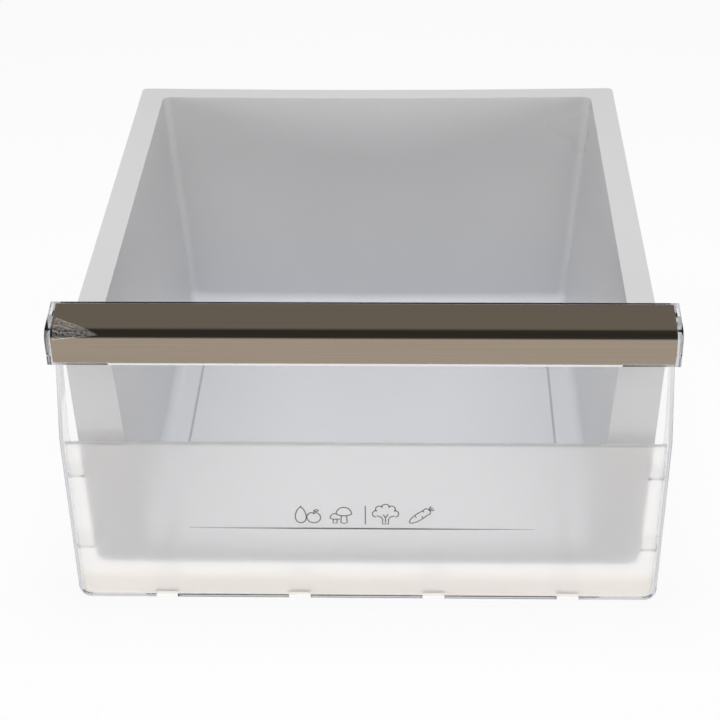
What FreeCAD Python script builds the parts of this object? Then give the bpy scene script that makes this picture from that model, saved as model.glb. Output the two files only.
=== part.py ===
import FreeCAD, Part
import math
import os
import Sketcher

# Crisper drawer of a fridge: an open-fronted moulded tub, a clear front panel that snaps on to the tub's
# flange, and a metallised trim strip bent over the panel's handle nose.
# The panel's lower face is at Y = 0 while modelling, the tub runs back along +Y and Z = 0 is the table.

sizes = {
    # tub
    "tub_wall": 2.5,
    "runner_height": 21.0,
    "tub_depth": 181.8,
    "rim_half_width": 190.0,
    "rim_width": 18.3,
    "rim_back_width": 17.0,
    "rim_length": 388.0,
    "rim_thickness": 2.5,
    "rim_skirt": 7.0,
    "rim_corner": 4.0,
    "rim_bow": 5.0,
    "rim_bow_radius": 4500.0,
    "side_draft": 14.2,
    "back_draft": 4.3,
    "floor_fillet": 9.0,
    "back_fillet": 6.0,
    "runner_margin": 20.0,
    "runner_thickness": 3.0,
    "runner_inset": 24.0,
    "runner_ramp": 14.0,
    "crease_width": 1.6,
    "crease_depth": 0.6,
    # front flange of the tub
    "flange_setback": 17.5,
    "flange_wall": 2.5,
    "flange_overhang": 6.0,
    "flange_taper": 9.2,
    "flange_corner": 9.0,
    "flange_land": 4.5,
    "flange_lip": 2.0,
    "sill_height": 3.5,
    "sill_corner": 14.0,
    # snaps between tub and panel
    "snap_gap": 0.3,
    "tongue_width": 14.4,
    "tongue_spacing": 92.0,
    "tongue_wall": 2.2,
    "window_front": 1.2,
    "window_length": 7.0,
    "catch_height": 10.0,
    "catch_drop": 2.0,
    "catch_reach": 2.4,
    # front panel
    "panel_wall": 2.6,
    "panel_gap": 0.9,
    "panel_skirt": 3.0,
    "ridge_height": 128.8,
    "ridge_flare": 1.7,
    "ridge_bend": 40.0,
    "bottom_taper": 3.0,
    "bottom_corner": 9.0,
    "scoop_depth": 11.0,
    "head_room": 8.0,
    "edge_round": 1.6,
    "gusset_wall": 2.0,
    "gusset_low": 41.0,
    "gusset_high": 99.0,
    "gusset_reach": 12.0,
    # handle nose and trim
    "nose_reach": 12.4,
    "nose_rise": 17.6,
    "nose_fall": 5.0,
    "nose_overlap": 0.3,
    "nose_bend": 7.0,
    "nose_root": 4.0,
    "lip_height": 24.4,
    "lip_lean": 2.7,
    "nose_flare": 1.6,
    "end_wall": 3.6,
    "trim_wall": 1.5,
    "trim_gap": 0.1,
    "trim_ledge": 1.6,
}


class Size:
    # A length together with the sheet formula that gives it.
    def __init__(self, value, formula):
        self.value = value
        self.formula = formula

    def join(self, other, sign, value):
        return Size(value, "(" + self.formula + " " + sign + " " + as_size(other).formula + ")")

    def __add__(self, other):
        return self.join(other, "+", self.value + as_size(other).value)

    def __sub__(self, other):
        return self.join(other, "-", self.value - as_size(other).value)

    def __mul__(self, other):
        return self.join(other, "*", self.value * as_size(other).value)

    def __truediv__(self, other):
        return self.join(other, "/", self.value / as_size(other).value)

    def __neg__(self):
        return Size(-self.value, "(-1 * " + self.formula + ")")


def as_size(item):
    if isinstance(item, Size):
        return item
    return Size(float(item), str(item))


class Sheet:
    # The drawer's driving dimensions, one cell each, read back as sizes by name.
    def __init__(self, doc, table):
        self.cells = doc.addObject("Spreadsheet::Sheet", "sizes")
        for row, (alias, number) in enumerate(table.items(), start=1):
            self.cells.set("A%d" % row, alias)
            self.cells.set("B%d" % row, str(number))
            self.cells.setAlias("B%d" % row, alias)
        doc.recompute()

    def __getattr__(self, alias):
        return Size(float(self.cells.get(alias)), "sizes." + alias)


doc = FreeCAD.newDocument("crisper_drawer")
d = Sheet(doc, sizes)

# Levels and reaches that several pieces share.
floor_bottom = d.runner_height
floor_top = floor_bottom + d.tub_wall
rim_top = floor_top + d.tub_depth
flange_front = d.flange_setback
flange_back = flange_front + d.flange_wall
rim_back = flange_front + d.rim_length
inside_back_top = rim_back - d.rim_back_width
inside_back_bottom = inside_back_top - d.back_draft
inside_half_top = d.rim_half_width - d.rim_width
inside_half_bottom = inside_half_top - d.side_draft
runner_offset = inside_half_bottom - d.runner_margin
flange_half_top = d.rim_half_width + d.flange_overhang
flange_half_bottom = flange_half_top - d.flange_taper
shell_depth = flange_back + d.panel_skirt
shell_top = rim_top + d.head_room + d.panel_wall
panel_half_top = flange_half_top + d.panel_gap + d.panel_wall
panel_half_ridge = panel_half_top + d.ridge_flare
panel_half_bottom = panel_half_ridge - d.bottom_taper
nose_half = panel_half_top + d.nose_flare
nose_back = flange_back + d.nose_overlap
nose_top = rim_top + d.nose_rise
nose_corner = nose_top - d.nose_fall
lip_bottom = nose_corner - d.lip_height
seat_depth = d.trim_wall + d.trim_gap
trim_half = nose_half - d.end_wall
whole_middle = (rim_back - d.nose_reach) / 2


def new_body(name):
    body = doc.addObject("PartDesign::Body", name)
    body.Label = name
    body.setExpression("Placement.Base.y", (-whole_middle).formula)
    return body


def origin_feature(body, role):
    return [item for item in body.Origin.OriginFeatures if item.Role == role][0]


def new_sketch(body, name, role, offset=None):
    sketch = body.newObject("Sketcher::SketchObject", name)
    sketch.AttachmentSupport = [(origin_feature(body, role), "")]
    sketch.MapMode = "FlatFace"
    if offset is not None:
        sketch.setExpression("AttachmentOffset.Base.z", offset.formula)
    return sketch


def bind(sketch, constraint, formula):
    index = sketch.addConstraint(constraint)
    sketch.setExpression("Constraints[%d]" % index, formula)


def pin(sketch, geometry, position, x, y):
    # Holds one sketch point at its two coordinates, on an axis where a coordinate is nil.
    for kind, axis, size in (("DistanceX", -2, x), ("DistanceY", -1, y)):
        size = as_size(size)
        if size.formula == "0":
            sketch.addConstraint(Sketcher.Constraint("PointOnObject", geometry, position, axis))
        else:
            bind(sketch, Sketcher.Constraint(kind, -1, 1, geometry, position, size.value), size.formula)


def corner_arc(before, here, after, radius):
    # The arc that rounds one corner: its two tangent points and the circle's centre.
    back = (before - here).normalize()
    ahead = (after - here).normalize()
    half_turn = back.getAngle(ahead) / 2
    reach = radius / math.tan(half_turn)
    middle = (back + ahead).normalize() * (radius / math.sin(half_turn))
    return here + back * reach, here + ahead * reach, here + middle


def outline(sketch, corners):
    # A closed outline through corners (x, y) or rounded corners (x, y, radius), each bound to its sizes.
    points = [FreeCAD.Vector(as_size(c[0]).value, as_size(c[1]).value, 0) for c in corners]
    count = len(points)
    starts = list(points)
    ends = list(points)
    arcs = {}
    for i, corner in enumerate(corners):
        if len(corner) == 3:
            following = points[(i + 1) % count]
            first, last, centre = corner_arc(points[i - 1], points[i], following, corner[2].value)
            ends[i] = first
            starts[i] = last
            arcs[i] = (first, last, centre)
    lines = []
    for i in range(count):
        lines.append(sketch.addGeometry(Part.LineSegment(starts[i], ends[(i + 1) % count]), False))
    for i, corner in enumerate(corners):
        before = lines[i - 1]
        after = lines[i]
        if i in arcs:
            round_corner(sketch, arcs[i], before, after, points[i], corner)
        else:
            sketch.addConstraint(Sketcher.Constraint("Coincident", before, 2, after, 1))
            pin(sketch, after, 1, corner[0], corner[1])


def round_corner(sketch, arc, before, after, point, corner):
    first, last, centre = arc
    radius = corner[2]
    turns_left = (first - centre).cross(last - centre).z > 0
    begin, finish = (first, last) if turns_left else (last, first)
    angles = [math.atan2(p.y - centre.y, p.x - centre.x) for p in (begin, finish)]
    circle = Part.Circle(centre, FreeCAD.Vector(0, 0, 1), radius.value)
    bend = sketch.addGeometry(Part.ArcOfCircle(circle, angles[0], angles[1]), False)
    apex = sketch.addGeometry(Part.Point(point), True)
    near, far = (1, 2) if turns_left else (2, 1)
    sketch.addConstraint(Sketcher.Constraint("Tangent", before, 2, bend, near))
    sketch.addConstraint(Sketcher.Constraint("Tangent", bend, far, after, 1))
    bind(sketch, Sketcher.Constraint("Radius", bend, radius.value), radius.formula)
    sketch.addConstraint(Sketcher.Constraint("PointOnObject", apex, 1, before))
    sketch.addConstraint(Sketcher.Constraint("PointOnObject", apex, 1, after))
    pin(sketch, apex, 1, corner[0], corner[1])


def rectangle(sketch, x0, y0, x1, y1):
    outline(sketch, [(x0, y0), (x1, y0), (x1, y1), (x0, y1)])


def extrude(body, kind, name, sketch, length, side="One side", backwards=False):
    feature = body.newObject("PartDesign::" + kind, name)
    feature.Profile = sketch
    feature.SideType = side
    feature.Reversed = backwards
    feature.setExpression("Length", length.formula)
    doc.recompute()
    return feature


def pad(body, name, sketch, length, side="One side", backwards=False):
    return extrude(body, "Pad", name, sketch, length, side, backwards)


def pocket(body, name, sketch, length, side="One side", backwards=False):
    before = body.Shape.Volume
    feature = extrude(body, "Pocket", name, sketch, length, side, backwards)
    if not body.Shape.Volume < before:
        raise RuntimeError(name + " cuts nothing")
    return feature


def hollow_out(body, name, wall, opened):
    # Leaves an even wall inside the faces of a block and opens it at the faces that are picked.
    base = body.Tip
    before = body.Shape.Volume
    shell = body.newObject("PartDesign::Thickness", name)
    shell.Base = (base, faces_where(base, opened))
    shell.Reversed = True
    shell.Intersection = True
    shell.setExpression("Value", wall.formula)
    doc.recompute()
    if not body.Shape.Volume < before:
        raise RuntimeError(name + " is not hollow")


def faces_where(feature, wanted):
    return ["Face%d" % (i + 1) for i, face in enumerate(feature.Shape.Faces) if wanted(face.BoundBox)]


def fillet(body, name, radius, wanted):
    base = body.Tip
    edges = ["Edge%d" % (i + 1) for i, edge in enumerate(base.Shape.Edges) if wanted(edge.BoundBox)]
    feature = body.newObject("PartDesign::Fillet", name)
    feature.Base = (base, edges)
    feature.setExpression("Radius", radius.formula)
    doc.recompute()
    return feature


def mirror(body, name, feature):
    copy = body.newObject("PartDesign::Mirrored", name)
    copy.Originals = [feature]
    copy.MirrorPlane = (origin_feature(body, "YZ_Plane"), [""])
    body.Tip = copy
    doc.recompute()
    return copy


def row(body, name, feature, spacing, count):
    copies = body.newObject("PartDesign::LinearPattern", name)
    copies.Originals = [feature]
    copies.Direction = (origin_feature(body, "X_Axis"), [""])
    copies.setExpression("Length", (spacing * (count - 1)).formula)
    copies.Occurrences = count
    body.Tip = copies
    doc.recompute()
    return copies


tongue_count = 4
first_tongue = -(d.tongue_spacing * (tongue_count - 1) / 2)
# Slack when an edge or face is picked by the level that it lies on.
level = 0.01


def make_tub():
    body = new_body("tub")
    bin_half_top = inside_half_top + d.tub_wall
    bin_half_bottom = inside_half_bottom + d.tub_wall
    floor_round = d.floor_fillet + d.tub_wall
    section = new_sketch(body, "bin_section", "XZ_Plane", -flange_front)
    outline(section, [
        (-bin_half_top, rim_top),
        (-bin_half_bottom, floor_bottom, floor_round),
        (bin_half_bottom, floor_bottom, floor_round),
        (bin_half_top, rim_top),
    ])
    pad(body, "bin_block", section, d.rim_length, backwards=True)
    cut_back(body)
    round_back(body)
    hollow_out(body, "bin", d.tub_wall, open_bin_face)
    add_rim(body)
    add_flange(body)
    add_runners(body)
    add_catches(body)
    return body


def cut_back(body):
    # The back is cut along the bowed line of the rim, then leans in towards the floor by its draft.
    half = d.rim_half_width
    line = inside_back_top + d.tub_wall
    behind = line + d.rim_length
    sketch = new_sketch(body, "bin_back_line", "XY_Plane", floor_bottom)
    outline(sketch, [
        (-half, line),
        (0, line - d.rim_bow, d.rim_bow_radius),
        (half, line),
        (half, behind),
        (-half, behind),
    ])
    cut = pocket(body, "bin_back", sketch, rim_top * 2, side="Symmetric")
    lean = body.newObject("PartDesign::Draft", "bin_back_lean")
    lean.Base = (cut, faces_where(cut, back_face))
    lean.NeutralPlane = (cut, faces_where(cut, top_face))
    lean.Reversed = True
    lean.setExpression("Angle", "atan(sizes.back_draft / sizes.tub_depth)")
    doc.recompute()
    # A new draft finds its faces only on the second pass.
    lean.touch()
    doc.recompute()


def back_face(box):
    return box.YMin > inside_back_bottom.value - d.rim_bow.value


def top_face(box):
    return box.ZMin > rim_top.value - level


def round_back(body):
    # One round runs down each back corner and along the foot of the back wall.
    # The seams of the bowed face stay sharp: unlike the corners, they hardly lean sideways.
    def back_edge(box):
        sideways = box.XMax - box.XMin > d.tub_wall.value
        return sideways and back_face(box) and not top_face(box)

    fillet(body, "bin_back_round", d.back_fillet + d.tub_wall, back_edge)


def open_bin_face(box):
    return top_face(box) or box.YMax < flange_front.value + level


def band(sketch, half, back, width, back_width, inner_corner):
    # Plan of a strip along both sides and the bowed back, open at the front.
    inner_half = half - width
    inner_back = back - back_width
    outline(sketch, [
        (-half, flange_front),
        (-inner_half, flange_front),
        (-inner_half, inner_back, inner_corner),
        (0, inner_back - d.rim_bow, d.rim_bow_radius),
        (inner_half, inner_back, inner_corner),
        (inner_half, flange_front),
        (half, flange_front),
        (half, back, d.rim_corner),
        (0, back - d.rim_bow, d.rim_bow_radius),
        (-half, back, d.rim_corner),
    ])


def add_rim(body):
    # The flat rim grows out of the middle of the bin's wall and turns down into a skirt.
    wall = d.tub_wall
    width = d.rim_width - wall / 2
    back_width = d.rim_back_width - wall / 2
    plate = new_sketch(body, "rim_outline", "XY_Plane", rim_top - d.rim_thickness)
    band(plate, d.rim_half_width, rim_back, width, back_width, d.back_fillet + wall / 2)
    pad(body, "rim", plate, d.rim_thickness)
    skirt = new_sketch(body, "rim_skirt_outline", "XY_Plane", rim_top - d.rim_skirt)
    band(skirt, d.rim_half_width, rim_back, wall, wall, d.rim_corner)
    pad(body, "rim_skirt", skirt, d.rim_skirt)


def add_flange(body):
    # The flange's opening is a little smaller than the bin and has a low sill at the floor.
    # Its lower edge hangs below the floor as a lip for the panel's tongues.
    land_top = inside_half_top - d.flange_land
    land_bottom = inside_half_bottom - d.flange_land
    low = floor_bottom - d.flange_lip
    sill = floor_top + d.sill_height
    sketch = new_sketch(body, "flange_outline", "XZ_Plane", -flange_front)
    outline(sketch, [
        (-flange_half_top, rim_top),
        (-flange_half_bottom, low, d.flange_corner),
        (flange_half_bottom, low, d.flange_corner),
        (flange_half_top, rim_top),
        (land_top, rim_top),
        (land_bottom, sill, d.sill_corner),
        (-land_bottom, sill, d.sill_corner),
        (-land_top, rim_top),
    ])
    pad(body, "flange", sketch, d.flange_wall, backwards=True)


def add_runners(body):
    # Two skids carry the floor level with the panel's lower edge, and a fine crease marks each one inside.
    front = flange_back + d.runner_inset
    back = inside_back_bottom - d.runner_inset
    sketch = new_sketch(body, "runner_side", "YZ_Plane", runner_offset)
    root = floor_bottom + d.tub_wall / 2
    outline(sketch, [
        (front, root),
        (front + d.runner_ramp, 0),
        (back - d.runner_ramp, 0),
        (back, root),
    ])
    skid = pad(body, "runner", sketch, d.runner_thickness, side="Symmetric")
    mirror(body, "runner_pair", skid)
    crease = new_sketch(body, "crease_outline", "XY_Plane", floor_top)
    half = d.crease_width / 2
    rectangle(crease, runner_offset - half, front, runner_offset + half, back)
    groove = pocket(body, "crease", crease, d.crease_depth)
    mirror(body, "crease_pair", groove)


def add_catches(body):
    # A catch at each end of the flange reaches into the panel's side slot.
    top = rim_top - d.catch_drop
    root = flange_half_top - d.flange_taper / 2
    tip = flange_half_top + d.catch_reach
    sketch = new_sketch(body, "catch_front", "XZ_Plane", -flange_front)
    rectangle(sketch, root, top - d.catch_height, tip, top)
    catch = pad(body, "catch", sketch, d.flange_wall, backwards=True)
    mirror(body, "catch_pair", catch)


def top_fall_at(y):
    # How far the sloping top of the nose lies below its highest edge at one place.
    return d.nose_fall * (nose_back - y) / (nose_back + d.nose_reach)


def lip_lean_at(z):
    # How far the leaning front of the nose lies behind its foremost corner at one level.
    return d.lip_lean * (nose_corner - z) / d.lip_height


def make_front_panel():
    body = new_body("front_panel")
    side = new_sketch(body, "shell_side", "YZ_Plane")
    outline(side, [
        (0, 0),
        (shell_depth, 0),
        (shell_depth, shell_top),
        (d.scoop_depth, shell_top),
        (d.scoop_depth, lip_bottom, d.ridge_bend),
        (0, d.ridge_height, d.ridge_bend),
    ])
    pad(body, "shell_block", side, panel_half_ridge * 2, side="Symmetric")
    margin = panel_half_ridge + d.edge_round * 2
    face = new_sketch(body, "shell_face", "XZ_Plane")
    rectangle(face, -margin, -d.edge_round, margin, shell_top + d.edge_round)
    outline(face, [
        (-panel_half_top, shell_top),
        (-panel_half_ridge, d.ridge_height, d.ridge_bend),
        (-panel_half_bottom, 0, d.bottom_corner),
        (panel_half_bottom, 0, d.bottom_corner),
        (panel_half_ridge, d.ridge_height, d.ridge_bend),
        (panel_half_top, shell_top),
    ])
    pocket(body, "shell_outline", face, shell_depth + d.edge_round)
    round_face(body)
    hollow_out(body, "shell", d.panel_wall, open_panel_face)
    add_nose(body)
    cut_windows(body)
    add_tongues(body)
    add_gussets(body)
    return body


def round_face(body):
    # Softens the long edges where the face turns into the side and bottom returns.
    front = d.scoop_depth.value + level

    def face_edge(box):
        rises = box.ZMax - box.ZMin > level
        at_foot = box.ZMax < level
        return box.YMax < front and (rises or at_foot)

    fillet(body, "face_round", d.edge_round, face_edge)


def open_panel_face(box):
    return box.YMin > shell_depth.value - level


def add_nose(body):
    # The hooked nose starts as a block, then takes the trim's seat and a finger hollow closed at its ends.
    root = d.scoop_depth + d.panel_wall / 2
    under = shell_top - d.panel_wall / 2
    side = new_sketch(body, "nose_side", "YZ_Plane")
    outline(side, [
        (nose_back, nose_top),
        (-d.nose_reach, nose_corner, d.nose_bend),
        (d.lip_lean - d.nose_reach, lip_bottom),
        (root, lip_bottom),
        (root, under),
        (nose_back, under),
    ])
    pad(body, "nose_block", side, nose_half * 2, side="Symmetric")
    cut_seat(body)
    cut_finger_hollow(body)


def cut_seat(body):
    back = nose_back - d.trim_ledge
    low = lip_bottom + d.trim_ledge
    clear = d.edge_round
    seat = new_sketch(body, "seat_side", "YZ_Plane")
    outline(seat, [
        (back, nose_top + clear),
        (-d.nose_reach - clear, nose_top + clear),
        (-d.nose_reach - clear, low),
        (lip_lean_at(low) - d.nose_reach + seat_depth, low),
        (seat_depth - d.nose_reach, nose_corner - seat_depth, d.nose_bend - seat_depth),
        (back, nose_top - top_fall_at(back) - seat_depth),
    ])
    pocket(body, "trim_seat", seat, trim_half * 2, side="Symmetric")


def cut_finger_hollow(body):
    skin = seat_depth + d.panel_wall
    back = d.scoop_depth
    below = lip_bottom - d.edge_round
    front = skin - d.nose_reach
    hollow = new_sketch(body, "hollow_side", "YZ_Plane")
    outline(hollow, [
        (front + lip_lean_at(below), below),
        (back, below),
        (back, nose_top - top_fall_at(back) - skin, d.nose_root),
        (front, nose_corner - skin, d.nose_root),
    ])
    pocket(body, "finger_hollow", hollow, trim_half * 2, side="Symmetric")


def cut_windows(body):
    # Four windows lie behind the lower edge, one before each tongue, and a slot in each side takes a catch.
    half = d.tongue_width / 2 + d.snap_gap
    window_back = d.window_front + d.window_length
    window = new_sketch(body, "window_outline", "XY_Plane")
    rectangle(window, first_tongue - half, d.window_front, first_tongue + half, window_back)
    cut = pocket(body, "window", window, d.panel_wall * 2, backwards=True)
    row(body, "window_row", cut, d.tongue_spacing, tongue_count)
    top = rim_top - d.catch_drop + d.snap_gap
    slot = new_sketch(body, "slot_side", "YZ_Plane")
    rectangle(slot, flange_front - d.snap_gap, top - d.catch_height - d.snap_gap * 2,
              flange_back + d.snap_gap, top)
    pocket(body, "catch_slot", slot, panel_half_ridge * 2 + d.edge_round, side="Symmetric")


def add_tongues(body):
    # Upright tongues on the bottom return snap up behind the lip of the tub's flange.
    front = flange_back + d.snap_gap
    root = d.panel_wall / 2
    top = floor_bottom - d.snap_gap
    sketch = new_sketch(body, "tongue_side", "YZ_Plane", first_tongue)
    outline(sketch, [
        (front, root),
        (front, top),
        (front + d.tongue_wall / 2, top),
        (front + d.tongue_wall, root),
    ])
    tongue = pad(body, "tongue", sketch, d.tongue_width, side="Symmetric")
    row(body, "tongue_row", tongue, d.tongue_spacing, tongue_count)


def add_gussets(body):
    # Small webs in the side returns stop the panel against the front of the tub's flange.
    for name, height in (("low_gusset", d.gusset_low), ("high_gusset", d.gusset_high)):
        outer = panel_half_bottom + d.bottom_taper * height / d.ridge_height - d.panel_wall / 2
        web = new_sketch(body, name + "_outline", "XY_Plane", height)
        rectangle(web, outer - d.gusset_reach, d.panel_wall / 2, outer, flange_front)
        half = pad(body, name, web, d.gusset_wall)
        mirror(body, name + "_pair", half)


def make_handle_trim():
    # One strip bent to the nose: a sloping top, a round front edge and a leaning front.
    body = new_body("handle_trim")
    wall = d.trim_wall
    back = nose_back - d.trim_ledge - d.trim_gap
    low = lip_bottom + d.trim_ledge + d.trim_gap
    high = nose_top - top_fall_at(back)
    foot = lip_lean_at(low) - d.nose_reach
    side = new_sketch(body, "trim_side", "YZ_Plane")
    outline(side, [
        (back, high),
        (-d.nose_reach, nose_corner, d.nose_bend),
        (foot, low),
        (foot + wall, low),
        (wall - d.nose_reach, nose_corner - wall, d.nose_bend - wall),
        (back, high - wall),
    ])
    pad(body, "strip", side, (trim_half - d.trim_gap) * 2, side="Symmetric")
    return body


def check_and_write(bodies):
    failed = [item.Name for item in doc.Objects if "Invalid" in item.State or "Error" in item.State]
    if failed:
        raise RuntimeError("failed features: " + ", ".join(failed))
    for body in bodies:
        if body.Shape.isNull() or not body.Shape.isValid():
            raise RuntimeError(body.Label + " has no valid shape")
        print(body.Label, len(body.Shape.Solids), "solids", round(body.Shape.Volume / 1000, 1), "cm3")
    os.makedirs("parts", exist_ok=True)
    for body in bodies:
        body.Shape.exportStep("parts/" + body.Label + ".step")


pieces = [make_tub(), make_front_panel(), make_handle_trim()]
doc.recompute()
check_and_write(pieces)
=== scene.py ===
import math

import bpy
from mathutils import Matrix, Vector, noise
from mathutils.bvhtree import BVHTree


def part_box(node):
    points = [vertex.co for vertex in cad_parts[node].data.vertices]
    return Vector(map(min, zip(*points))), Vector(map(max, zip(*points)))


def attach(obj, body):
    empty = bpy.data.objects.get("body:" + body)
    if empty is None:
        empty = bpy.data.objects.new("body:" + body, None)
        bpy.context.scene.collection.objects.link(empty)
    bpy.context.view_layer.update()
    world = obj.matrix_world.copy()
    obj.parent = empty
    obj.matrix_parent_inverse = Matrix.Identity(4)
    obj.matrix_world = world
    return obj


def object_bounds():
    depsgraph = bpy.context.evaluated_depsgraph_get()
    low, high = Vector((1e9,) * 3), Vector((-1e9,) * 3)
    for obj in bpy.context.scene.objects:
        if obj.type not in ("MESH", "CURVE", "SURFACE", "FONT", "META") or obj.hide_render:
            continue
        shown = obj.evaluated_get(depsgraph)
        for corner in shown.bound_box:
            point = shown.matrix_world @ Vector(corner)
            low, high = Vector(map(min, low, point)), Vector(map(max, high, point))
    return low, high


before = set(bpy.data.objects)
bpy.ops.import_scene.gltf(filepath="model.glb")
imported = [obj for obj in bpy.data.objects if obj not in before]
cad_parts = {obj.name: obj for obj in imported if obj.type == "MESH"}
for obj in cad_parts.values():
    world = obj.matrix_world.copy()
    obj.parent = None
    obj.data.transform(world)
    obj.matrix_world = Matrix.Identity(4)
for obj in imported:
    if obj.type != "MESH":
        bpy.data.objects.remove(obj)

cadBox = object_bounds()
mm = 0.001
white = (1, 1, 1, 1)

panelLow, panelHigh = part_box("front_panel")
trimLow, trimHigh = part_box("handle_trim")


# One socket of a shader tree, so that shader maths reads as plain expressions.
class Wire:
    def __init__(self, look, socket):
        self.look = look
        self.socket = socket

    def maths(self, operation, first, second):
        return self.look.add("ShaderNodeMath", {"operation": operation}, {0: first, 1: second})

    def __add__(self, other):
        return self.maths("ADD", self, other)

    def __radd__(self, other):
        return self.maths("ADD", other, self)

    def __sub__(self, other):
        return self.maths("SUBTRACT", self, other)

    def __rsub__(self, other):
        return self.maths("SUBTRACT", other, self)

    def __mul__(self, other):
        return self.maths("MULTIPLY", self, other)

    def __rmul__(self, other):
        return self.maths("MULTIPLY", other, self)

    def size(self):
        return self.maths("ABSOLUTE", self, 0.0)

    # A noise value, from 0 to 1, made to swing about a middle.
    def swing(self, middle, spread):
        return (self - 0.5) * spread + middle


# A material or the world, with one way to add any node.
class Look:
    def __init__(self, name, owner=None):
        self.owner = owner or bpy.data.materials.new(name)
        self.owner.use_nodes = True
        self.tree = self.owner.node_tree
        self.tree.nodes.clear()

    def add(self, kind, settings=None, sockets=None, out=0):
        node = self.tree.nodes.new(kind)
        for key, value in (settings or {}).items():
            setattr(node, key, value)
        for key, value in (sockets or {}).items():
            if isinstance(value, Wire):
                self.tree.links.new(value.socket, node.inputs[key])
            else:
                node.inputs[key].default_value = value
        return Wire(self, node.outputs[out]) if node.outputs else node

    def place(self):
        return self.add("ShaderNodeTexCoord", out="Object")

    def stretched(self, scale):
        return self.add("ShaderNodeMapping", None, {"Vector": self.place(), "Scale": scale})

    def split(self, vector, axis):
        return self.add("ShaderNodeSeparateXYZ", None, {0: vector}, out=axis)

    def grain(self, vector, scale, detail=3.0, rough=0.55):
        return self.add("ShaderNodeTexNoise", None,
                        {"Vector": vector, "Scale": scale, "Detail": detail, "Roughness": rough})

    # 0 at the first limit, 1 at the second and held there.
    def ramp(self, factor, first, second):
        return self.add("ShaderNodeMapRange", {"clamp": True}, {0: factor, 1: first, 2: second})

    # The Mix node's colour sockets share their names with others, so they go by number.
    def blend(self, factor, first, second):
        return self.add("ShaderNodeMix", {"data_type": "RGBA"}, {0: factor, 6: first, 7: second}, out=2)

    def bump(self, height, strength, distance):
        return self.add("ShaderNodeBump", None,
                        {"Height": height, "Strength": strength, "Distance": distance})

    def rays(self, name):
        return self.add("ShaderNodeLightPath", out=name)

    def mixed(self, factor, first, second):
        return self.add("ShaderNodeMixShader", None, {0: factor, 1: first, 2: second})

    def finish(self, shader, world=False, volume=None):
        ends = {"Surface": shader}
        if volume:
            ends["Volume"] = volume
        self.add("ShaderNodeOutputWorld" if world else "ShaderNodeOutputMaterial", None, ends)
        return self.owner


def dress(obj, material):
    obj.data.materials.clear()
    obj.data.materials.append(material)


def addPiece(name, verts, faces, material, smooth=True):
    mesh = bpy.data.meshes.new(name)
    mesh.from_pydata(verts, [], faces)
    mesh.update()
    for poly in mesh.polygons:
        poly.use_smooth = smooth
    piece = bpy.data.objects.new(name, mesh)
    bpy.context.scene.collection.objects.link(piece)
    dress(piece, material)
    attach(piece, "root")
    return piece


# Gives a thin layer its thickness, on the side that its faces look to (1) or on the other (-1).
def thicken(piece, thickness, side):
    shell = piece.modifiers.new("thickness", "SOLIDIFY")
    shell.thickness = thickness
    shell.offset = side


def gridFaces(rows, columns, first=0, flip=False):
    faces = []
    for r in range(rows):
        for c in range(columns):
            a = first + r * (columns + 1) + c
            b = a + columns + 1
            faces.append((a, a + 1, b + 1, b) if flip else (a, b, b + 1, a + 1))
    return faces


# A node's own surface, felt with a ray, so that what lies on it follows it.
def surfaceOf(node):
    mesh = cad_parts[node].data
    tree = BVHTree.FromPolygons([v.co for v in mesh.vertices], [p.vertices for p in mesh.polygons])

    def touch(start, direction):
        return tree.ray_cast(Vector(start), Vector(direction).normalized())[0]
    return touch


panelSurface = surfaceOf("front_panel")
trimSurface = surfaceOf("handle_trim")


tub = {
    "colour": (0.685, 0.675, 0.68, 1),
    "lowShadeColour": (0.665, 0.68, 0.71, 1),  # painted shade: cooler towards the floor, where the inside lies in shade
    "lowShadeRange": (0.12, 0.02),
    "roughness": 0.30,
    "roughSpread": 0.12,
    "specular": 0.45,
    "creaseAt": 0.1375,  # painted shade: the two fine dark lines in the grooves above the runners
    "creaseHalf": 0.0010,
    "creaseCore": 0.6,  # share of that half width that is fully dark
    "creaseTop": 0.026,
    "creaseBack": 0.1637,
    "creaseFade": 0.001,
    "creaseShadeColour": (0.42, 0.43, 0.45, 1),
    "grainScale": 1900.0,  # fine spark texture of the mould
    "grainStrength": 0.25,
    "grainDepth": 0.00004,
    "cloudScale": 9.0,
    "cloudColour": (0.3, 0.31, 0.33, 1),
    "cloudShare": 0.04,
}


def tubPlastic():
    look = Look("tubPlastic")
    place = look.place()
    height = look.split(place, "Z")
    fine = look.grain(place, tub["grainScale"], detail=2.0)
    cloud = look.grain(place, tub["cloudScale"], detail=4.0)
    # painted shade: the wall colour turns cooler towards the floor
    plain = look.blend(look.ramp(height, *tub["lowShadeRange"]), tub["colour"], tub["lowShadeColour"])
    clouded = look.blend(cloud * tub["cloudShare"], plain, tub["cloudColour"])
    # painted shade in the two grooves above the runners, low on the floor and short of the back
    aside = look.split(place, "X").size() - tub["creaseAt"]
    creaseShadeMask = look.ramp(aside.size(), tub["creaseHalf"], tub["creaseHalf"] * tub["creaseCore"])
    low = look.ramp(height, tub["creaseTop"], tub["creaseTop"] - tub["creaseFade"])
    short = look.ramp(look.split(place, "Y"), tub["creaseBack"], tub["creaseBack"] - tub["creaseFade"])
    shader = look.add("ShaderNodeBsdfPrincipled", None, {
        "Base Color": look.blend(creaseShadeMask * low * short, clouded, tub["creaseShadeColour"]),
        "Roughness": cloud.swing(tub["roughness"], tub["roughSpread"]),
        "Specular IOR Level": tub["specular"],
        "Normal": look.bump(fine, tub["grainStrength"], tub["grainDepth"]),
    })
    return look.finish(shader)


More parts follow.
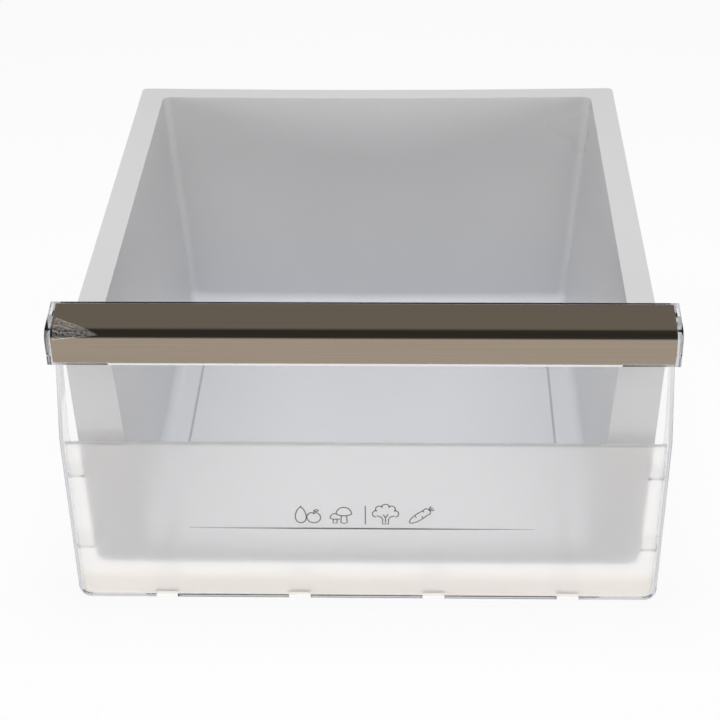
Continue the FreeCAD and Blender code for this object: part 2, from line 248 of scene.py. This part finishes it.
clear = {
    "colour": (0.985, 0.985, 0.985, 1),
    "tint": (0.965, 0.972, 0.98, 1),
    "tintShare": 0.3,
    "lightThrough": (0.975, 0.975, 0.97, 1),
    "roughness": 0.025,
    "ior": 1.49,
    "waveScale": 14.0,  # slow swim marks of the moulding
    "waveStrength": 0.15,
    "waveDepth": 0.0006,
    "scuffScale": 420.0,
    "scuffRange": (0.55, 0.8),
    "scuffRoughness": 0.06,
    "depthColour": (0.63, 0.63, 0.66, 1),
    "depthDensity": 45.0,  # a long way through the returns looks grey
}


def clearPlastic():
    look = Look("clearPlastic")
    place = look.place()
    wave = look.grain(place, clear["waveScale"], detail=1.0)
    scuff = look.grain(place, clear["scuffScale"])
    scuffed = look.ramp(scuff, *clear["scuffRange"])
    glass = look.add("ShaderNodeBsdfPrincipled", None, {
        "Base Color": look.blend(wave * clear["tintShare"], clear["colour"], clear["tint"]),
        "Roughness": scuffed * clear["scuffRoughness"] + clear["roughness"],
        "IOR": clear["ior"],
        "Transmission Weight": 1.0,
        "Normal": look.bump(wave, clear["waveStrength"], clear["waveDepth"]),
    })
    through = look.add("ShaderNodeBsdfTransparent", None, {0: clear["lightThrough"]})
    depth = look.add("ShaderNodeVolumeAbsorption", None,
                     {"Color": clear["depthColour"], "Density": clear["depthDensity"]})
    return look.finish(look.mixed(look.rays("Is Shadow Ray"), glass, through), volume=depth)


trim = {
    "colour": (0.37, 0.305, 0.235, 1),
    "darkColour": (0.30, 0.25, 0.195, 1),
    "toneRange": (0.3, 0.7),
    "roughness": 0.20,
    "roughSpread": 0.16,
    "streaks": (2.5, 900.0, 900.0),  # brush lines run along the strip
    "streakShare": 0.6,
    "hairs": (9.0, 4200.0, 4200.0),
    "hairStrength": 0.3,
    "hairDepth": 0.00006,
}


def brushedTrim():
    look = Look("brushedTrim")
    streak = look.grain(look.stretched(trim["streaks"]), 1.0, detail=4.0, rough=0.6)
    hair = look.grain(look.stretched(trim["hairs"]), 1.0, detail=2.0, rough=0.6)
    both = streak * trim["streakShare"] + hair * (1 - trim["streakShare"])
    tone = look.ramp(both, *trim["toneRange"])
    shader = look.add("ShaderNodeBsdfPrincipled", None, {
        "Base Color": look.blend(tone, trim["darkColour"], trim["colour"]),
        "Metallic": 1.0,
        "Roughness": both.swing(trim["roughness"], trim["roughSpread"]),
        "Normal": look.bump(hair, trim["hairStrength"], trim["hairDepth"]),
    })
    return look.finish(shader)


dress(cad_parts["tub"], tubPlastic())
dress(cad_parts["front_panel"], clearPlastic())
dress(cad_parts["handle_trim"], brushedTrim())
print("stage: CAD nodes dressed")


frost = {
    "top": 0.1288,
    "bottom": 0.0038,
    "sideEdge": 0.0036,  # clear border left beside the print
    "corner": 0.0075,
    "lift": 0.00012,
    "thickness": 0.00022,
    "rows": 46,
    "rowCrowding": 1.6,  # rows crowd at the foot, where the corners turn
    "columns": 90,
    "colour": (1.0, 0.988, 0.978, 1),
    "footLightColour": (1.0, 0.945, 0.885, 1),  # painted light: warmer at the foot, where no tub lies behind the print
    "footRange": (0.030, 0.016),
    "cloudColour": (0.9, 0.89, 0.88, 1),
    "cloudScale": 22.0,
    "cloudShare": 0.06,
    "roughness": 0.5,
    "roughSpread": 0.1,
    "ior": 1.16,
    "inkShare": 0.11,
    "inkSpread": 0.12,
    "edgeShare": 0.35,  # the ink lies thicker along its top edge
    "edgeRange": (0.1274, 0.1282),
    "speckScale": 2600.0,
    "lightThrough": (0.8, 0.8, 0.8, 1),
}


def frostedInk():
    look = Look("frostedInk")
    place = look.place()
    height = look.split(place, "Z")
    speck = look.grain(place, frost["speckScale"], detail=2.0)
    cloud = look.grain(place, frost["cloudScale"])
    # painted light: the print turns warm towards its foot
    paintedFootLight = look.blend(look.ramp(height, *frost["footRange"]), frost["colour"], frost["footLightColour"])
    ground = look.add("ShaderNodeBsdfPrincipled", None, {
        "Base Color": look.blend(cloud * frost["cloudShare"], paintedFootLight, frost["cloudColour"]),
        "Roughness": speck.swing(frost["roughness"], frost["roughSpread"]),
        "IOR": frost["ior"],
        "Transmission Weight": 1.0,
    })
    ink = look.add("ShaderNodeBsdfDiffuse", None, {"Color": frost["colour"]})
    edge = look.ramp(height, *frost["edgeRange"]) * frost["edgeShare"]
    body = look.mixed(speck.swing(frost["inkShare"], frost["inkSpread"]) + edge, ground, ink)
    through = look.add("ShaderNodeBsdfTransparent", None, {0: frost["lightThrough"]})
    return look.finish(look.mixed(look.rays("Is Shadow Ray"), body, through))


feel = {
    "from": 0.05,  # rays start this far outside the panel
    "sideDepth": 0.02,  # behind the panel's foremost edge, where its sides are felt
}


# Half width of the panel's face at one height, felt from the side.
def panelHalf(z):
    return panelSurface((panelHigh.x + feel["from"], panelLow.y + feel["sideDepth"], z), (-1, 0, 0)).x


def onFace(x, z, lift):
    spot = panelSurface((x, panelLow.y - feel["from"], z), (0, 1, 0))
    return Vector((x, spot.y - lift, z))


def addPrint():
    rows, columns, corner = frost["rows"], frost["columns"], frost["corner"]
    verts = []
    for r in range(rows + 1):
        t = (r / rows) ** frost["rowCrowding"]
        z = frost["bottom"] + (frost["top"] - frost["bottom"]) * t
        below = max(0.0, corner - (z - frost["bottom"]))
        turn = corner - math.sqrt(max(0.0, corner ** 2 - below ** 2))
        half = panelHalf(max(z, corner * 2)) - frost["sideEdge"] - turn
        for c in range(columns + 1):
            verts.append(onFace(half * (2 * c / columns - 1), z, frost["lift"]))
    faces = gridFaces(rows, columns, flip=True)
    piece = addPiece("frosted_print", verts, faces, frostedInk())
    thicken(piece, frost["thickness"], 1.0)


addPrint()
print("stage: frosted print laid on the face")


marks = {
    "middle": 0.071,  # height of the row of produce signs
    "signsAt": (-39.0, -16.0, 13.5, 37.5),  # mm, as the outlines of the signs are
    "barHalf": 7.5,
    "lift": 0.00038,
    "thickness": 0.00006,
    "stroke": 0.00075,
    "lineHeight": 0.0598,
    "lineFrom": -0.119,
    "lineTo": 0.1135,
    "lineWidth": 0.0011,
    "lineSteps": 60,
    "lineTip": 0.12,  # share of the width that is left at the line's ends
    "lineTaper": 2.4,
    "ink": (0.105, 0.09, 0.085, 1),
    "inkPale": (0.20, 0.185, 0.18, 1),
    "patchScale": 900.0,
    "patchRange": (0.35, 0.7),
    "roughness": 0.45,
    "roughSpread": 0.2,
    "specular": 0.3,
}


def darkInk():
    look = Look("darkInk")
    patch = look.grain(look.place(), marks["patchScale"])
    shader = look.add("ShaderNodeBsdfPrincipled", None, {
        "Base Color": look.blend(look.ramp(patch, *marks["patchRange"]), marks["ink"], marks["inkPale"]),
        "Roughness": patch * marks["roughSpread"] + marks["roughness"],
        "Specular IOR Level": marks["specular"],
    })
    return look.finish(shader)


# Points of an oval, or of a part of one, as (x, z) in mm.
def oval(x, z, wide, high, start=0, end=360, steps=28, pinch=0.0):
    points = []
    for i in range(steps + 1):
        a = math.radians(start + (end - start) * i / steps)
        narrow = 1 - pinch * (math.sin(a) + 1) / 2
        points.append((x + wide * math.cos(a) * narrow, z + high * math.sin(a)))
    return points


def turned(points, degrees):
    c, s = math.cos(math.radians(degrees)), math.sin(math.radians(degrees))
    return [(x * c - z * s, x * s + z * c) for x, z in points]


def pearAndApple():
    return [
        oval(-4.4, -0.3, 4.5, 6.3, pinch=0.42),
        [(-4.4, 6.0), (-4.1, 7.4)],
        oval(4.3, -2.2, 4.6, 4.4, 112, 428),
        [(2.6, 1.9), (4.3, 1.0), (6.0, 1.9)],
        [(4.3, 1.0), (4.6, 3.2)],
        oval(6.0, 3.4, 1.5, 0.7, steps=12),
    ]


def twoMushrooms():
    return [
        oval(1.6, 0.6, 5.2, 5.6, 0, 180),
        [(-3.6, 0.6), (-1.0, -0.5), (1.6, -0.7), (4.2, -0.5), (6.8, 0.6)],
        [(-0.2, -0.6), (-0.5, -6.4), (1.6, -7.0), (3.7, -6.4), (3.4, -0.6)],
        oval(-4.6, -2.4, 3.0, 3.4, 60, 190, 14),
        [(-7.5, -3.0), (-5.6, -3.6), (-1.0, -3.4)],
        [(-5.6, -3.6), (-5.8, -6.6), (-3.2, -6.8), (-3.0, -3.6)],
    ]


def sprout():
    lobes, lobeStep, lobeSize, crownRadius = 5, 40, 2.7, 6.2
    crown = []
    for k in range(lobes):
        around = lobeStep * k
        (x, z), = turned([(crownRadius, 0)], 10 + around)
        crown += oval(x, z, lobeSize, lobeSize, -78 + around, 98 + around, 9)
    rightSide = [(6.0, -0.6), (3.2, -1.4), (1.9, -3.4), (2.1, -7.2)]
    leftSide = [(-x, z) for x, z in reversed(rightSide)]
    return [
        crown,
        rightSide + leftSide,
        [(0.0, -6.0), (0.0, -2.2), (-1.6, 0.4)],
        [(0.0, -2.2), (1.8, 0.8)],
    ]


def carrot():
    tilt = 38
    body = oval(-1.2, 0, 8.6, 2.7, 62, 298, 22) + [(5.6, -2.6), (6.8, -1.0), (6.8, 1.0), (5.6, 2.6)]
    body.append(body[0])
    leaves = [[(6.8, z), (9.6, z * 2.6)] for z in (-0.7, 0.0, 0.7)]
    nicks = [[(-4.0, 1.9), (-3.6, 0.5)], [(-0.6, -2.4), (-0.2, -0.8)], [(2.8, 2.5), (3.1, 1.0)]]
    return [turned(line, tilt) for line in [body] + leaves + nicks]


# Flat strokes on the face, each one a ribbon with its own width along the way.
def addMarks():
    verts = []
    faces = []
    sameSpot = 1e-6

    def ribbon(points, widths):
        closed = math.dist(points[0], points[-1]) < sameSpot
        count = len(points)
        for i, (x, z) in enumerate(points):
            before = points[i - 1] if i > 0 else points[-2] if closed else points[0]
            after = points[i + 1] if i + 1 < count else points[1] if closed else points[-1]
            run = Vector((after[0] - before[0], after[1] - before[1])).normalized() * widths[i] / 2
            for side in (1, -1):
                verts.append(onFace(x - run.y * side, z + run.x * side, marks["lift"]))
            if i > 0:
                a = len(verts) - 4
                faces.append((a, a + 2, a + 3, a + 1))

    signs = (pearAndApple(), twoMushrooms(), sprout(), carrot())
    for middle, strokes in zip(marks["signsAt"], signs):
        for stroke in strokes:
            spots = [((middle + x) * mm, marks["middle"] + z * mm) for x, z in stroke]
            ribbon(spots, [marks["stroke"]] * len(spots))
    bar = [(0.0, marks["middle"] + z * mm) for z in (-marks["barHalf"], marks["barHalf"])]
    ribbon(bar, [marks["stroke"]] * len(bar))
    line = []
    widths = []
    for i in range(marks["lineSteps"] + 1):
        t = i / marks["lineSteps"]
        line.append((marks["lineFrom"] + (marks["lineTo"] - marks["lineFrom"]) * t, marks["lineHeight"]))
        swell = marks["lineTip"] + marks["lineTaper"] * min(t, 1 - t)
        widths.append(marks["lineWidth"] * min(1.0, swell))
    ribbon(line, widths)
    piece = addPiece("produce_marks", verts, faces, darkInk(), smooth=False)
    thicken(piece, marks["thickness"], 1.0)


addMarks()
print("stage: produce signs and the line below them")


# Loose corner of the protective film at the strip's left end
film = {
    "from": -0.1958,
    "to": -0.1670,
    "across": 30,
    "around": 20,
    "lift": 0.0002,
    "crumple": 0.0012,
    "thickness": 0.00006,
    "wide": (36.0, 86.0),  # degrees round the strip that the flap covers at its open end
    "tip": 46.0,
    "behindFront": 0.016,  # the line behind the strip's bend that the flap is laid round
    "belowTop": 0.022,
    "feelFrom": 0.08,
    "rumpleShare": 0.4,
    "rumpleScale": (300.0, 6.0),
    "rumpleSeed": 0.4,
    "folds": (0.04, 0.30, 0.55, 0.97),  # where the sharp folds run, from the lower edge to the upper one
    "foldSharpness": 7,
    "foldLift": 0.0001,
    "foldHalf": 0.0126,  # share of the flap's width
    "foldThin": 0.35,  # share of that half width that is always there
    "foldScale": (7.0, 2.3),
    "foldSeed": 6.1,
    "driftShare": 0.10,  # how far a fold wanders from its straight way
    "driftScale": (5.0, 3.7),
    "driftSeed": 1.9,
    "colour": (0.80, 0.79, 0.77, 1),
    "alpha": 0.16,
    "hazeScale": 600.0,
    "foldColour": (0.88, 0.87, 0.85, 1),
    "foldAlpha": 0.85,
    "foldHazeScale": 420.0,
    "hazeColour": (0.6, 0.59, 0.57, 1),
    "hazeShare": 0.3,
    "hazeRange": (0.35, 0.75),
    "hazeStrength": 0.4,
    "hazeDepth": 0.0004,
    "roughness": 0.15,
    "roughSpread": 0.2,
}


def filmSkin(name, colour, alpha, scale):
    look = Look(name)
    haze = look.grain(look.place(), scale, rough=0.6)
    shader = look.add("ShaderNodeBsdfPrincipled", None, {
        "Base Color": look.blend(haze * film["hazeShare"], colour, film["hazeColour"]),
        "Roughness": haze * film["roughSpread"] + film["roughness"],
        "Alpha": look.ramp(haze, *film["hazeRange"]) * alpha,
        "Normal": look.bump(haze, film["hazeStrength"], film["hazeDepth"]),
    })
    return look.finish(shader)


def noiseAt(x, y, scale, seed):
    return noise.noise(Vector((x * scale[0], y * scale[1], seed)))


# A point of the loose flap: t runs from the open end to the tip, v from the lower edge to the upper one.
def onFlap(t, v, extra=0.0):
    x = film["from"] + (film["to"] - film["from"]) * t
    low, high = (edge + (film["tip"] - edge) * t for edge in film["wide"])
    angle = math.radians(low + (high - low) * v)
    outward = Vector((0, -math.cos(angle), math.sin(angle)))
    centre = Vector((x, trimLow.y + film["behindFront"], trimHigh.z - film["belowTop"]))
    spot = trimSurface(centre + outward * film["feelFrom"], -outward)
    ridge = min(abs(v - fold) for fold in film["folds"])
    rumple = film["rumpleShare"] * noiseAt(x, v, film["rumpleScale"], film["rumpleSeed"])
    rumple += max(0.0, 1 - ridge * film["foldSharpness"])
    rise = film["lift"] + film["crumple"] * max(0.0, rumple) * (1 - t)
    return spot + outward * (rise + extra)


def addFilm():
    across, around = film["across"], film["around"]
    verts = [onFlap(i / across, k / around) for i in range(across + 1) for k in range(around + 1)]
    skin = filmSkin("looseFilm", film["colour"], film["alpha"], film["hazeScale"])
    sheet = addPiece("film_corner", verts, gridFaces(across, around), skin)
    thicken(sheet, film["thickness"], -1.0)
    verts = []
    faces = []
    thin = film["foldThin"]
    for n, fold in enumerate(film["folds"]):
        first = len(verts)
        for i in range(across + 1):
            t = i / across
            drift = film["driftShare"] * noiseAt(t, n, film["driftScale"], film["driftSeed"]) * (1 - t)
            spread = thin + (1 - thin) * abs(noiseAt(t, n, film["foldScale"], film["foldSeed"]))
            for side in (-1, 1):
                v = fold + drift + side * film["foldHalf"] * spread
                verts.append(onFlap(t, min(1.0, max(0.0, v)), film["foldLift"]))
        faces += gridFaces(across, 1, first)
    bright = filmSkin("foldedFilm", film["foldColour"], film["foldAlpha"], film["foldHazeScale"])
    ridges = addPiece("film_folds", verts, faces, bright)
    thicken(ridges, film["thickness"], -1.0)


addFilm()
print("stage: film corner on the strip")


# Floor and light
stage = {
    "floorSize": 6.0,
    "floorGap": 0.0002,  # the floor lies this far below the runners
    "floorColour": (0.95, 0.95, 0.95, 1),
    "ownGlow": 0.90,
    "horizon": white,
    "upperBack": (0.37, 0.365, 0.36, 1),
    "upperFront": (0.07, 0.07, 0.07, 1),
    "backRange": (0.20, 0.60),  # where the dim front of the studio passes into its back
    "skyRange": (0.06, 0.26),
    "level": 1.0,
    "lamps": {  # size, power, place and the point it faces
        "overhead": (0.7, 14.0, (0.0, -0.05, 1.75), (0.0, -0.05, 0.0)),
        "sideLeft": (0.6, 4.4, (-0.7, -0.1, 1.6), (0.0, 0.0, 0.1)),
        "sideRight": (0.6, 4.0, (0.7, -0.1, 1.6), (0.0, 0.0, 0.1)),
        "frontLeft": (0.5, 6.0, (-1.3, -1.6, 0.36), (0.0, -0.1, 0.1)),
        "frontRight": (0.5, 6.0, (1.3, -1.6, 0.36), (0.0, -0.1, 0.1)),
        "frontLow": (0.5, 7.5, (0.0, -2.0, 0.3), (0.0, -0.1, 0.1)),
    },
}


def whiteFloor():
    look = Look("whiteFloor")
    paper = look.add("ShaderNodeBsdfDiffuse", None, {"Color": stage["floorColour"]})
    glow = look.add("ShaderNodeEmission", None, {"Color": white, "Strength": 1.0})
    shown = look.rays("Is Camera Ray") + look.rays("Is Glossy Ray")
    share = shown * stage["ownGlow"] + look.rays("Is Transmission Ray")
    return look.finish(look.mixed(look.ramp(share, 0.0, 1.0), paper, glow))


def addFloor():
    half = stage["floorSize"] / 2
    level = cadBox[0][2] - stage["floorGap"]
    corners = [(-half, -half, level), (half, -half, level), (half, half, level), (-half, half, level)]
    mesh = bpy.data.meshes.new("floor")
    mesh.from_pydata(corners, [], [(0, 1, 2, 3)])
    floor = bpy.data.objects.new("floor", mesh)
    bpy.context.scene.collection.objects.link(floor)
    dress(floor, whiteFloor())


def addWorld():
    world = bpy.data.worlds.new("studio")
    bpy.context.scene.world = world
    look = Look("studio", world)
    ray = look.add("ShaderNodeTexCoord", out="Generated")
    back = look.ramp(look.split(ray, "Y"), *stage["backRange"])
    ceiling = look.blend(back, stage["upperFront"], stage["upperBack"])
    dome = look.blend(look.ramp(look.split(ray, "Z"), *stage["skyRange"]), stage["horizon"], ceiling)
    shown = look.ramp(look.rays("Is Camera Ray") + look.rays("Is Transmission Ray"), 0.0, 1.0)
    sky = look.blend(shown, dome, white)
    light = look.add("ShaderNodeBackground", None, {"Color": sky, "Strength": stage["level"]})
    look.finish(light, world=True)


def addLamps():
    for name, (size, power, place, target) in stage["lamps"].items():
        lamp = bpy.data.lights.new(name, "AREA")
        lamp.shape = "SQUARE"
        lamp.size = size
        lamp.energy = power
        rig = bpy.data.objects.new(name, lamp)
        aim = (Vector(target) - Vector(place)).to_track_quat("-Z", "Y")
        rig.matrix_world = Matrix.Translation(place) @ aim.to_matrix().to_4x4()
        rig.visible_glossy = False  # the strip mirrors the studio's walls, not the lamps
        rig.visible_transmission = False
        bpy.context.scene.collection.objects.link(rig)


addFloor()
addWorld()
addLamps()
print("stage: floor, world and lamps")


camera = {
    "lens": 99.09,
    "sensor": 36.0,
    "farthest": 50,
    "place": (0.0381, -1.2812, 0.84421),
    "yaw": 2.118,
    "down": 31.0,
    "roll": -0.887,
}


def addCamera():
    yaw, down, roll = (math.radians(camera[k]) for k in ("yaw", "down", "roll"))
    ahead = Vector((-math.sin(yaw) * math.cos(down), math.cos(yaw) * math.cos(down), -math.sin(down)))
    level = Vector((math.cos(yaw), math.sin(yaw), 0))
    rise = Vector((-math.sin(yaw) * math.sin(down), math.cos(yaw) * math.sin(down), math.cos(down)))
    right = math.cos(roll) * level + math.sin(roll) * rise
    top = math.cos(roll) * rise - math.sin(roll) * level
    data = bpy.data.cameras.new("camera")
    data.lens = camera["lens"]
    data.sensor_width = camera["sensor"]
    data.clip_end = camera["farthest"]
    eye = bpy.data.objects.new("camera", data)
    turn = Matrix((right, top, -ahead)).transposed().to_4x4()
    eye.matrix_world = Matrix.Translation(camera["place"]) @ turn
    bpy.context.scene.collection.objects.link(eye)
    bpy.context.scene.camera = eye


addCamera()
bpy.context.scene.view_settings.view_transform = "Standard"
print("stage: camera")
